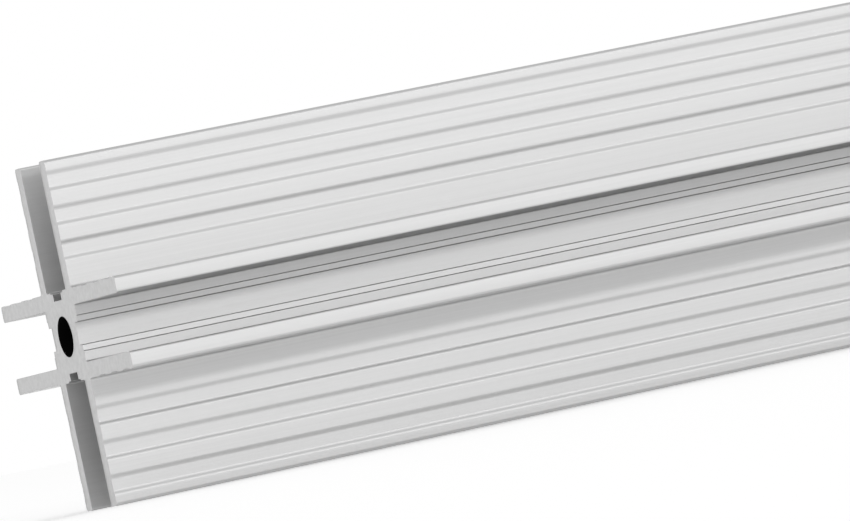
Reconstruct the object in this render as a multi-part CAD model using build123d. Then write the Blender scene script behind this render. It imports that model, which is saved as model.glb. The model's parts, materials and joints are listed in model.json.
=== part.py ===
"""Cross-shaped aluminium board profile: four open channels round a square core with a screw bore.

The stock lies along X and stands on the two walls of its lower channel.
"""

import os

from build123d import *

# Stock
stock_length = 1000.0

# Board channels, one on each of the four sides
side_count = 4
channel_width = 7.0
channel_depth = 15.5
wall_thickness = 2.0
channel_root_radius = 0.2
tip_radius = 0.6
tip_radius_limit_share = 0.45
valley_radius = 0.4

# Centring groove down the middle of each channel floor, with a shallow step on both sides
groove_mouth = 4.3
groove_width = 2.8
groove_step_depth = 0.2
groove_depth = 1.1

# Grip flutes across the outer face of each channel wall
flute_count = 3
flute_width = 2.3
flute_slope = 0.35
flute_depth = 0.3
flute_tip_land = 1.4
flute_root_land = 3.4

# Screw bore down the middle of the core
bore_diameter = 5.0

# How far a cut runs past the face that it opens
overrun = 2.0

# Worked out from the sizes above
core_width = channel_width + 2 * wall_thickness
span = core_width + 2 * channel_depth
core_face = core_width / 2
tip_face = span / 2
flute_pitch = (channel_depth - flute_tip_land - flute_root_land - flute_width) / (flute_count - 1)
tip_fillet = min(tip_radius, wall_thickness * tip_radius_limit_share)


def crossed_bars():
    """Two bars that cross, rounded in the valleys between neighbouring arms."""
    bars = Rectangle(core_width, span) + Rectangle(span, core_width)
    valleys = bars.vertices().sort_by_distance((0, 0))[:side_count]
    return fillet(valleys, valley_radius)


def channel_cut():
    """The space for a board's edge, open towards +X, with softened floor corners."""
    space = Pos(core_face) * Rectangle(
        channel_depth + overrun, channel_width, align=(Align.MIN, Align.CENTER)
    )
    floor_corners = space.vertices().group_by(Axis.X)[0]
    return fillet(floor_corners, channel_root_radius)


def groove_cut():
    """The groove that centres a drill on the channel floor, under a wider shallow step."""
    step = Pos(core_face - groove_step_depth) * Rectangle(
        groove_step_depth, groove_mouth, align=(Align.MIN, Align.CENTER)
    )
    groove = Pos(core_face - groove_depth) * Rectangle(
        groove_depth, groove_width, align=(Align.MIN, Align.CENTER)
    )
    return step + groove


def flute_cuts():
    """The flutes, with sloping sides, on both outer faces of the arm that points towards +X."""
    mouth, floor = flute_width / 2, flute_width / 2 - flute_slope
    flute = make_face(Polyline(
        (mouth, 0), (floor, flute_depth), (-floor, flute_depth),
        (-mouth, 0), (-floor, -flute_depth), (floor, -flute_depth),
        close=True,
    ))
    first = tip_face - flute_tip_land - flute_width / 2
    places = [
        Pos(first - step * flute_pitch, face)
        for step in range(flute_count)
        for face in (core_face, -core_face)
    ]
    return Sketch() + [place * flute for place in places]


def profile_section():
    """The full section, with the same cuts turned to all four sides."""
    section = crossed_bars() - Circle(bore_diameter / 2)
    for side in PolarLocations(0, side_count):
        section -= side * (channel_cut() + groove_cut())
    tips = section.vertices().filter_by(
        lambda corner: max(abs(corner.X), abs(corner.Y)) > tip_face - tip_fillet
    )
    section = fillet(tips, tip_fillet)
    for side in PolarLocations(0, side_count):
        section -= side * flute_cuts()
    return section


def profile():
    """The section run along X, standing on the floor plane and centred over the origin."""
    across = Plane(origin=(-stock_length / 2, 0, tip_face), x_dir=(0, 1, 0), z_dir=(1, 0, 0))
    return extrude(across * profile_section(), stock_length)


os.makedirs("parts", exist_ok=True)
export_step(profile(), "parts/profile.step")
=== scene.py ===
"""Looks of a cross-shaped aluminium board profile, laid out as an add-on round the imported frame."""

import json
import math

import bmesh
import bpy
from mathutils import Matrix, Vector


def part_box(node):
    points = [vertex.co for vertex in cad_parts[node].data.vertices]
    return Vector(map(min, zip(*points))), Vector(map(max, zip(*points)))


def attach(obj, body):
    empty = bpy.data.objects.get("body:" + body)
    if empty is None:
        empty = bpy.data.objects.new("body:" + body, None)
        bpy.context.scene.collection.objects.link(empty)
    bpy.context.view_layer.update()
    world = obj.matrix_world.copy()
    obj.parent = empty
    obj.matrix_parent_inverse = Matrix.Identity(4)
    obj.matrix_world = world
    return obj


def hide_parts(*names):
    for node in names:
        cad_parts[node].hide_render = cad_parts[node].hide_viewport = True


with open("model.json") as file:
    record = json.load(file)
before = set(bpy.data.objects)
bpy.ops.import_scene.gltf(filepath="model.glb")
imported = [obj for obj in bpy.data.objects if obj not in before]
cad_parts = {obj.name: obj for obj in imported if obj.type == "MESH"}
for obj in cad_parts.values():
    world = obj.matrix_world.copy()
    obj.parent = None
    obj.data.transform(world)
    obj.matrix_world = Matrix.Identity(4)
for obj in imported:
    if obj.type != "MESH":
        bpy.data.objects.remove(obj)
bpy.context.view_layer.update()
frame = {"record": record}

bl_info = {
    "name": "Aluminium board profile",
    "version": (1, 0, 0),
    "blender": (4, 5, 0),
    "location": "3D View > Sidebar > Profile",
    "description": "Builds a cross-shaped extruded profile with sawn ends, and a plain studio round it",
    "category": "Add Mesh",
}

MM = 0.001
SIDES = 4
QUARTER = math.tau / SIDES
PIXELS_WIDE, PIXELS_HIGH = 850, 521

# Points closer than this count as one.
NEAR_TO = 0.01 * MM

# Order of the stock's materials
SATIN, SAWN, BORE, DULL = range(4)

# How far a finish strays to both sides of its middle value
LINE_TINT = 0.07
LINE_ROUGHNESS = 0.06
GRIT_TINT = 0.14

# Edges that turn more than this stay sharp.
SHARP_TURN = math.radians(50)

# A face whose normal leans this far along the stock belongs to a sawn end.
END_LEAN = 0.5

# The room's levels blend between these: a direction's part towards the back, and its part upwards.
FRONT_ENDS, BACK_STARTS = -0.4, 0.2
WALL_ENDS, CEILING_STARTS = 0.6, 0.8

stock_low, stock_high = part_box("profile")
mounts = {mount["name"]: mount for mount in frame["record"]["mounts"]}
core_centre = Vector((0, 0, mounts["screw_bore"]["pos_m"][2]))


def linear(hex_code):
    """The linear red, green and blue of an sRGB hex code."""
    parts = [int(hex_code[place:place + 2], 16) / 255 for place in (1, 3, 5)]
    return tuple(p / 12.92 if p <= 0.04045 else ((p + 0.055) / 1.055) ** 2.4 for p in parts)


def length_property(name, size, description):
    """A length in metres that shows in the scene's units."""
    return bpy.props.FloatProperty(
        name=name, description=description, default=size, min=0, unit="LENGTH", precision=5
    )


def angle_property(name, degrees, description):
    """An angle that is written in degrees."""
    return bpy.props.FloatProperty(
        name=name, description=description, default=math.radians(degrees), subtype="ANGLE"
    )


def share_property(name, share, description):
    """A share of 1, such as a roughness or a level of light."""
    return bpy.props.FloatProperty(
        name=name, description=description, default=share, min=0, max=1, subtype="FACTOR"
    )


def colour_property(name, hex_code, description):
    """A colour that is written as an sRGB hex code."""
    return bpy.props.FloatVectorProperty(
        name=name, description=description, default=linear(hex_code), size=3, min=0, max=1,
        subtype="COLOR",
    )


class ProfileSizes(bpy.types.PropertyGroup):
    """The sizes of the section and of its softened edges."""

    channel_width: length_property("Channel width", 7.0 * MM, "Board space between two walls")
    wall: length_property("Wall", 2.0 * MM, "Thickness of each channel wall")
    groove_mouth: length_property("Groove mouth", 4.3 * MM, "Width of the groove at the channel floor")
    groove_width: length_property("Groove width", 2.8 * MM, "Width of the groove under its step")
    groove_step_depth: length_property("Groove step", 0.2 * MM, "Depth of the step beside the groove")
    groove_depth: length_property("Groove depth", 1.1 * MM, "Depth of the groove in the channel floor")
    flute_width: length_property("Flute width", 2.3 * MM, "Width of each flute at the wall's face")
    flute_slope: length_property("Flute slope", 0.35 * MM, "Width of each sloping side of a flute")
    flute_depth: length_property("Flute depth", 0.12 * MM, "Depth of each flute")
    flute_pitch: length_property("Flute pitch", 4.2 * MM, "From one flute to the next")
    flute_tip_land: length_property("Tip land", 1.4 * MM, "Plain strip from a tip to the first flute")
    tip_radius: length_property("Tip radius", 0.4 * MM, "Rounding of the wall tips' outer corners")
    mouth_radius: length_property("Mouth radius", 0.3 * MM, "Rounding of the channel mouths' corners")
    valley_radius: length_property("Valley radius", 0.4 * MM, "Rounding between two neighbouring walls")
    root_radius: length_property("Root radius", 0.2 * MM, "Rounding from a wall to its channel floor")
    flute_radius: length_property("Flute radius", 0.17 * MM, "Rounding that the die leaves on flutes")
    groove_radius: length_property("Groove radius", 0.07 * MM, "Rounding that the die leaves on grooves")
    sawn_edge: length_property("Sawn edge", 0.08 * MM, "Width and depth of the inset in a sawn end")
    flute_count: bpy.props.IntProperty(
        name="Flutes", description="Number of flutes on each wall", default=3, min=0
    )


class ProfileFinish(bpy.types.PropertyGroup):
    """The colours and roughness of the stock."""

    wall_colour: colour_property("Walls", "#d0d0d0", "Colour of the anodised walls")
    sawn_colour: colour_property("Sawn ends", "#cdcdcd", "Colour of the sawn ends")
    # The bore's colour is painted shade: near black, standing for the dark inside the deep bore.
    bore_painted_shade: colour_property("Bore", "#030303", "Colour of the dull bore wall")
    satin_roughness: share_property("Satin", 0.35, "Roughness of the outer faces")
    dull_roughness: share_property("Dull", 0.60, "Roughness of the walls inside the channels")
    sawn_roughness: share_property("Sawn", 0.60, "Roughness of the sawn ends")
    bore_roughness: share_property("Bore roughness", 0.90, "Roughness of the bore wall")


class StudioSettings(bpy.types.PropertyGroup):
    """The floor, the light and the camera."""

    floor_colour: colour_property("Floor", "#f8f8f8", "Colour of the plain floor")
    floor_radius: length_property("Floor radius", 40.0, "Reach of the floor round the stock")
    floor_lift: share_property("Floor lift", 0.20, "Light that makes the floor look white")
    front_level: share_property("Front", 0.87, "Level of the room in front; behind the stock it is 1")
    ceiling_level: share_property("Ceiling", 0.72, "Level of the room overhead")
    key_width: length_property("Key width", 7.0, "Width of the panel in front")
    key_height: length_property("Key height", 160 * MM, "Height of the panel in front")
    key_lift: length_property("Key lift", 440 * MM, "From the floor to the panel's lower edge")
    key_distance: length_property("Key distance", 3.0, "From the stock to the panel in front")
    key_power: bpy.props.FloatProperty(
        name="Key power", description="Power of the panel in front", default=15.0, min=0, unit="POWER"
    )
    lens: length_property("Lens", 312.9 * MM, "Focal length on a 36 mm wide sensor")
    camera_distance: length_property("Distance", 882.9 * MM, "From the lens to the bore at the near end")
    camera_yaw: angle_property("Yaw", 22.25, "Turn of the view from square on towards the far end")
    camera_pitch: angle_property("Pitch", 0.94, "Tilt of the view upwards")
    camera_roll: angle_property("Roll", -12.04, "Turn of the picture about the view")
    bore_pixel: bpy.props.FloatVectorProperty(
        name="Bore in the picture", description="Pixel at which the middle of the near bore shows",
        default=(65.6, 336.9), size=2, subtype="COORDINATES",
    )


def add_node(tree, kind, settings=None, links=None):
    """Adds a node, sets its attributes and sockets, and links its inputs from other nodes' outputs."""
    node = tree.nodes.new(kind)
    for name, value in (settings or {}).items():
        if hasattr(node, name):
            setattr(node, name, value)
        else:
            node.inputs[name].default_value = value
    for name, output in (links or {}).items():
        tree.links.new(output, node.inputs[name])
    return node


def new_material(name):
    """An empty node material and its tree."""
    material = bpy.data.materials.new(name)
    material.use_nodes = True
    material.node_tree.nodes.clear()
    return material, material.node_tree


def shade(colour, share):
    """A colour made darker or paler by a share, with its alpha."""
    return (*(share * part for part in colour), 1)


def extruded_aluminium(name, colour, roughness):
    """Clear anodised aluminium as the die leaves it: pale grey, with fine soft lines along the stock."""
    material, tree = new_material(name)
    place = add_node(tree, "ShaderNodeTexCoord")
    # Die lines lie about 0.1 mm apart; they are drawn at 0.3 mm so that they show, and fade over 60 mm.
    line_pitch, line_run = 0.3 * MM, 60 * MM
    along = add_node(tree, "ShaderNodeMapping", {
        "Scale": (1 / line_run, 1 / line_pitch, 1 / line_pitch),
    }, {"Vector": place.outputs["Object"]})
    lines = add_node(tree, "ShaderNodeTexNoise", {
        "Scale": 1.0, "Detail": 2.0, "Roughness": 0.6,
    }, {"Vector": along.outputs["Vector"]})
    tint = add_node(tree, "ShaderNodeMixRGB", {
        "Color1": shade(colour, 1 - LINE_TINT), "Color2": shade(colour, 1 + LINE_TINT),
    }, {"Fac": lines.outputs["Fac"]})
    sheen = add_node(tree, "ShaderNodeMapRange", {
        "To Min": roughness - LINE_ROUGHNESS, "To Max": roughness + LINE_ROUGHNESS,
    }, {"Value": lines.outputs["Fac"]})
    relief = add_node(tree, "ShaderNodeBump", {
        "Strength": 0.25, "Distance": 0.01 * MM,
    }, {"Height": lines.outputs["Fac"]})
    surface = add_node(tree, "ShaderNodeBsdfPrincipled", {"Metallic": 1.0}, {
        "Base Color": tint.outputs["Color"],
        "Roughness": sheen.outputs["Result"],
        "Normal": relief.outputs["Normal"],
    })
    add_node(tree, "ShaderNodeOutputMaterial", links={"Surface": surface.outputs["BSDF"]})
    return material


def sawn_aluminium(colour, roughness):
    """Bare aluminium off the saw: duller than the outer faces, and finely speckled."""
    material, tree = new_material("saw_cut_aluminium")
    place = add_node(tree, "ShaderNodeTexCoord")
    # The saw's grit is about 0.2 mm wide; it is drawn at 0.8 mm so that it shows.
    grit_width = 0.8 * MM
    grit = add_node(tree, "ShaderNodeTexNoise", {
        "Scale": 1 / grit_width, "Detail": 3.0, "Roughness": 0.6,
    }, {"Vector": place.outputs["Object"]})
    tint = add_node(tree, "ShaderNodeMixRGB", {
        "Color1": shade(colour, 1 - GRIT_TINT), "Color2": shade(colour, 1 + GRIT_TINT),
    }, {"Fac": grit.outputs["Fac"]})
    relief = add_node(tree, "ShaderNodeBump", {
        "Strength": 0.4, "Distance": 0.03 * MM,
    }, {"Height": grit.outputs["Fac"]})
    surface = add_node(tree, "ShaderNodeBsdfPrincipled", {"Metallic": 1.0, "Roughness": roughness}, {
        "Base Color": tint.outputs["Color"], "Normal": relief.outputs["Normal"],
    })
    add_node(tree, "ShaderNodeOutputMaterial", links={"Surface": surface.outputs["BSDF"]})
    return material


def painted_shade_bore(colour, roughness):
    """The wall of a deep narrow bore, painted near black as the shade deep inside it, so that it lets no
    light back out.
    """
    material, tree = new_material("bore_wall_painted_shade")
    # Painted shade: near black and barely reflecting, for the dark inside the bore.
    surface = add_node(tree, "ShaderNodeBsdfPrincipled", {
        "Base Color": (*colour, 1), "Metallic": 0.0, "Roughness": roughness, "Specular IOR Level": 0.1,
    })
    add_node(tree, "ShaderNodeOutputMaterial", links={"Surface": surface.outputs["BSDF"]})
    return material


def half_arm(bm, sizes, near, core_face, tip_face):
    """Draws half of the upper arm's outline, from the valley out to the tip and back to the groove."""
    half_channel = sizes.channel_width / 2
    half_mouth, half_groove = sizes.groove_mouth / 2, sizes.groove_width / 2
    step_floor = core_face - sizes.groove_step_depth
    groove_floor = core_face - sizes.groove_depth
    flute_floor = core_face - sizes.flute_depth
    places = [(core_face, core_face)]
    for flute in reversed(range(sizes.flute_count)):
        outer = tip_face - sizes.flute_tip_land - flute * sizes.flute_pitch
        inner = outer - sizes.flute_width
        places += [
            (core_face, inner),
            (flute_floor, inner + sizes.flute_slope),
            (flute_floor, outer - sizes.flute_slope),
            (core_face, outer),
        ]
    places += [
        (core_face, tip_face),
        (half_channel, tip_face),
        (half_channel, core_face),
        (half_mouth, core_face),
        (half_mouth, step_floor),
        (half_groove, step_floor),
        (half_groove, groove_floor),
        (0, groove_floor),
    ]
    corners = [bm.verts.new((near, across, core_centre.z + up)) for across, up in places]
    for first, second in zip(corners, corners[1:]):
        bm.edges.new((first, second))


def from_axes(point):
    """The lesser and the greater distance of a point from the section's two axes."""
    return sorted((abs(point.y), abs(point.z - core_centre.z)))


def round_corners(bm, radius, wanted, segments):
    """Rounds the corners whose two distances from the section's axes pass a test."""
    bmesh.ops.bevel(
        bm, geom=[v for v in bm.verts if wanted(*from_axes(v.co))], offset=radius, offset_type="OFFSET",
        segments=segments, profile=0.5, affect="VERTICES", material=-1,
    )


def section_outline(bm, sizes, near):
    """Draws the rounded outline of the whole section at the near end."""
    half_channel = sizes.channel_width / 2
    half_mouth = sizes.groove_mouth / 2
    core_face = half_channel + sizes.wall
    tip_face = (stock_high.z - stock_low.z) / 2
    half_arm(bm, sizes, near, core_face, tip_face)
    bmesh.ops.mirror(
        bm, geom=bm.verts[:] + bm.edges[:], matrix=Matrix.Identity(4), merge_dist=NEAR_TO, axis="Y"
    )
    bmesh.ops.spin(
        bm, geom=bm.verts[:] + bm.edges[:], cent=core_centre, axis=(1, 0, 0),
        angle=QUARTER * (SIDES - 1), steps=SIDES - 1, use_duplicate=True,
    )
    bmesh.ops.remove_doubles(bm, verts=bm.verts[:], dist=NEAR_TO)

    def at_valley(low, high):
        return low > core_face - NEAR_TO and high < core_face + NEAR_TO

    def at_root(low, high):
        return abs(low - half_channel) < NEAR_TO and abs(high - core_face) < NEAR_TO

    def at_tip(low, high):
        return low > core_face - NEAR_TO and high > tip_face - NEAR_TO

    def at_mouth(low, high):
        return low < half_channel + NEAR_TO and high > tip_face - NEAR_TO

    def at_groove(low, high):
        return NEAR_TO < low < half_mouth + NEAR_TO and high < core_face + NEAR_TO

    def at_flute(low, high):
        return low > half_channel + NEAR_TO and core_face + NEAR_TO < high < tip_face - NEAR_TO

    round_corners(bm, sizes.flute_radius, at_flute, segments=4)
    round_corners(bm, sizes.groove_radius, at_groove, segments=2)
    round_corners(bm, sizes.valley_radius, at_valley, segments=4)
    round_corners(bm, sizes.root_radius, at_root, segments=3)
    round_corners(bm, sizes.mouth_radius, at_mouth, segments=4)
    round_corners(bm, sizes.tip_radius, at_tip, segments=5)


def inset_sawn_end(bm, end, width):
    """Insets a sawn end and moves the corners of its old rim along the stock, meant to break its edge.

    Known fault: after the inset not all of those corners lie on the outside. The near face sinks by the
    width, and the far edge comes out uneven by it.
    """
    cap = [f for f in bm.faces if all(abs(v.co.x - end) < NEAR_TO for v in f.verts)]
    inside = set(cap)
    border = [e for f in cap for e in f.edges if not inside.issuperset(e.link_faces)]
    rim = {v for e in border for v in e.verts}
    bmesh.ops.inset_region(
        bm, faces=cap, thickness=width, depth=0, use_boundary=True, use_even_offset=True
    )
    bmesh.ops.translate(bm, verts=list(rim), vec=(math.copysign(width, -end), 0, 0))


def build_stock(sizes, materials):
    """The stock as a new piece: the section filled, run along X and inset at its sawn ends."""
    near, far = stock_low.x, stock_high.x
    bore_radius = mounts["screw_bore"]["dims"]["r_mm"] * MM
    half_channel = sizes.channel_width / 2
    core_face = half_channel + sizes.wall
    bm = bmesh.new()
    section_outline(bm, sizes, near)
    upright = Matrix.Translation((near, 0, core_centre.z)) @ Matrix.Rotation(math.pi / 2, 4, "Y")
    bmesh.ops.create_circle(bm, cap_ends=False, segments=64, radius=bore_radius, matrix=upright)
    bmesh.ops.triangle_fill(bm, use_beauty=True, edges=bm.edges[:], normal=(-1, 0, 0))
    run = bmesh.ops.extrude_face_region(bm, geom=bm.faces[:], use_keep_orig=True)
    moved = [item for item in run["geom"] if isinstance(item, bmesh.types.BMVert)]
    bmesh.ops.translate(bm, verts=moved, vec=(far - near, 0, 0))
    bmesh.ops.recalc_face_normals(bm, faces=bm.faces[:])
    for end in (near, far):
        inset_sawn_end(bm, end, sizes.sawn_edge)

    for face in bm.faces:
        low, high = from_axes(face.calc_center_median())
        if abs(face.normal.x) > END_LEAN:
            face.material_index = SAWN
        elif math.hypot(low, high) < bore_radius + NEAR_TO:
            face.material_index = BORE
        elif low < half_channel + NEAR_TO and high > core_face + NEAR_TO:
            face.material_index = DULL
        else:
            face.material_index = SATIN
        face.smooth = True

    mesh = bpy.data.meshes.new("profile_stock")
    bm.to_mesh(mesh)
    bm.free()
    mesh.set_sharp_from_angle(angle=SHARP_TURN)
    for material in materials:
        mesh.materials.append(material)
    piece = bpy.data.objects.new("profile_stock", mesh)
    bpy.context.scene.collection.objects.link(piece)
    # The wide flat faces alone set the shading, so that they stay flat beside their roundings.
    flats = piece.modifiers.new("flat_faces", "WEIGHTED_NORMAL")
    flats.weight = 100
    flats.keep_sharp = True
    return piece


class PROFILE_OT_stock(bpy.types.Operator):
    """Build the extruded stock with its sawn ends in place of the frame's plain solid"""

    bl_idname = "profile.stock"
    bl_label = "Build the stock"

    def execute(self, context):
        finish = context.scene.profile_finish
        materials = {
            SATIN: extruded_aluminium(
                "satin_anodised_extruded_aluminium", finish.wall_colour, finish.satin_roughness
            ),
            SAWN: sawn_aluminium(finish.sawn_colour, finish.sawn_roughness),
            # The bore's near-black colour is painted shade for the dark inside the bore.
            BORE: painted_shade_bore(finish.bore_painted_shade, finish.bore_roughness),
            # Inside the channels the die leaves a duller skin, which spreads light deep into them.
            DULL: extruded_aluminium(
                "dull_anodised_extruded_aluminium", finish.wall_colour, finish.dull_roughness
            ),
        }
        piece = build_stock(context.scene.profile_sizes, [materials[place] for place in sorted(materials)])
        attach(piece, "root")
        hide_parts("profile")
        return {"FINISHED"}


def build_floor(studio):
    """A floor in matt white paint, which has no shine and takes the stock's soft shadow."""
    material, tree = new_material("white_floor_paint")
    paint = add_node(tree, "ShaderNodeBsdfDiffuse", {"Color": (*studio.floor_colour, 1)})

    # A little light for the eye and for reflections makes the floor look white, and it keeps its shadow.
    path = add_node(tree, "ShaderNodeLightPath")
    either = add_node(tree, "ShaderNodeMath", {"operation": "MAXIMUM"}, {
        0: path.outputs["Is Camera Ray"], 1: path.outputs["Is Glossy Ray"],
    })
    seen = add_node(tree, "ShaderNodeMath", {"operation": "MAXIMUM"}, {
        0: either.outputs["Value"], 1: path.outputs["Is Transmission Ray"],
    })
    level = add_node(tree, "ShaderNodeMath", {"operation": "MULTIPLY"}, {0: seen.outputs["Value"]})
    level.inputs[1].default_value = studio.floor_lift
    glow = add_node(tree, "ShaderNodeEmission", links={"Strength": level.outputs["Value"]})
    both = add_node(tree, "ShaderNodeAddShader", links={
        0: paint.outputs["BSDF"], 1: glow.outputs["Emission"],
    })
    add_node(tree, "ShaderNodeOutputMaterial", links={"Surface": both.outputs["Shader"]})

    bm = bmesh.new()
    bmesh.ops.create_circle(bm, cap_ends=True, segments=96, radius=studio.floor_radius)
    mesh = bpy.data.meshes.new("floor")
    bm.to_mesh(mesh)
    bm.free()
    mesh.materials.append(material)
    floor = bpy.data.objects.new("floor", mesh)
    bpy.context.scene.collection.objects.link(floor)


def build_key(studio):
    """A long low panel of light in front of the stock."""
    lamp = bpy.data.lights.new("key_panel", "AREA")
    lamp.shape = "RECTANGLE"
    lamp.size, lamp.size_y = studio.key_width, studio.key_height
    lamp.energy = studio.key_power
    panel = bpy.data.objects.new("key_panel", lamp)
    centre = Vector((0, -studio.key_distance, studio.key_lift + studio.key_height / 2))
    panel.matrix_world = Matrix.Translation(centre) @ Matrix.Rotation(math.pi / 2, 4, "X")
    panel.visible_camera = False
    bpy.context.scene.collection.objects.link(panel)


def build_world(studio):
    """A room that is white behind the stock and greyer in front of it and overhead."""
    world = bpy.data.worlds.new("studio_room")
    world.use_nodes = True
    tree = world.node_tree
    tree.nodes.clear()
    place = add_node(tree, "ShaderNodeTexCoord")
    apart = add_node(tree, "ShaderNodeSeparateXYZ", links={"Vector": place.outputs["Generated"]})
    walls = add_node(tree, "ShaderNodeMapRange", {
        "interpolation_type": "SMOOTHSTEP", "From Min": FRONT_ENDS, "From Max": BACK_STARTS,
        "To Min": studio.front_level, "To Max": 1.0,
    }, {"Value": apart.outputs["Y"]})
    level = add_node(tree, "ShaderNodeMapRange", {
        "interpolation_type": "SMOOTHSTEP", "From Min": WALL_ENDS, "From Max": CEILING_STARTS,
        "To Max": studio.ceiling_level,
    }, {"Value": apart.outputs["Z"], "To Min": walls.outputs["Result"]})
    glow = add_node(tree, "ShaderNodeBackground", {
        "Color": (1, 1, 1, 1),
    }, {"Strength": level.outputs["Result"]})
    add_node(tree, "ShaderNodeOutputWorld", links={"Surface": glow.outputs["Background"]})
    bpy.context.scene.world = world


def build_camera(studio):
    """The camera at the photograph's viewing angle, placed by where the near bore shows."""
    yaw, pitch, roll = studio.camera_yaw, studio.camera_pitch, studio.camera_roll
    forward = Vector((math.sin(yaw) * math.cos(pitch), math.cos(yaw) * math.cos(pitch), math.sin(pitch)))
    level = forward.cross(Vector((0, 0, 1))).normalized()
    upright = level.cross(forward)
    right = math.cos(roll) * level + math.sin(roll) * upright
    up = math.cos(roll) * upright - math.sin(roll) * level

    camera = bpy.data.cameras.new("camera")
    camera.lens = studio.lens / MM
    camera.clip_start, camera.clip_end = 0.05, 100
    depth = studio.camera_distance
    per_pixel = depth * camera.sensor_width / camera.lens / PIXELS_WIDE
    across = (studio.bore_pixel[0] - PIXELS_WIDE / 2) * per_pixel
    down = (studio.bore_pixel[1] - PIXELS_HIGH / 2) * per_pixel
    near_bore = Vector((stock_low.x, 0, core_centre.z))
    eye = near_bore - depth * forward - across * right + down * up

    holder = bpy.data.objects.new("camera", camera)
    holder.matrix_world = Matrix.Translation(eye) @ Matrix((right, up, -forward)).transposed().to_4x4()
    bpy.context.scene.collection.objects.link(holder)
    bpy.context.scene.camera = holder


class PROFILE_OT_studio(bpy.types.Operator):
    """Set out the floor, the soft light and the camera"""

    bl_idname = "profile.studio"
    bl_label = "Set out the studio"

    def execute(self, context):
        studio = context.scene.profile_studio
        build_floor(studio)
        build_world(studio)
        build_key(studio)
        build_camera(studio)
        context.scene.view_settings.view_transform = "Standard"
        return {"FINISHED"}


class PROFILE_PT_panel(bpy.types.Panel):
    """Lists the sizes, colours and steps"""

    bl_idname = "PROFILE_PT_panel"
    bl_label = "Board profile"
    bl_space_type = "VIEW_3D"
    bl_region_type = "UI"
    bl_category = "Profile"

    def draw(self, context):
        for place, group in groups.items():
            box = self.layout.box()
            for name in group.__annotations__:
                box.prop(getattr(context.scene, place), name)
        self.layout.operator(PROFILE_OT_stock.bl_idname)
        self.layout.operator(PROFILE_OT_studio.bl_idname)


classes = (
    ProfileSizes, ProfileFinish, StudioSettings,
    PROFILE_OT_stock, PROFILE_OT_studio, PROFILE_PT_panel,
)
groups = {
    "profile_sizes": ProfileSizes, "profile_finish": ProfileFinish, "profile_studio": StudioSettings,
}


def register():
    """Registers the classes and gives every scene its settings."""
    for item in classes:
        bpy.utils.register_class(item)
    for name, group in groups.items():
        setattr(bpy.types.Scene, name, bpy.props.PointerProperty(type=group))


def unregister():
    """Takes the settings off the scenes again, and then the classes."""
    for name in groups:
        delattr(bpy.types.Scene, name)
    for item in reversed(classes):
        bpy.utils.unregister_class(item)


def main():
    """Builds the stock and the studio."""
    register()
    bpy.ops.profile.stock()
    bpy.ops.profile.studio()


if __name__ == "__main__":
    main()
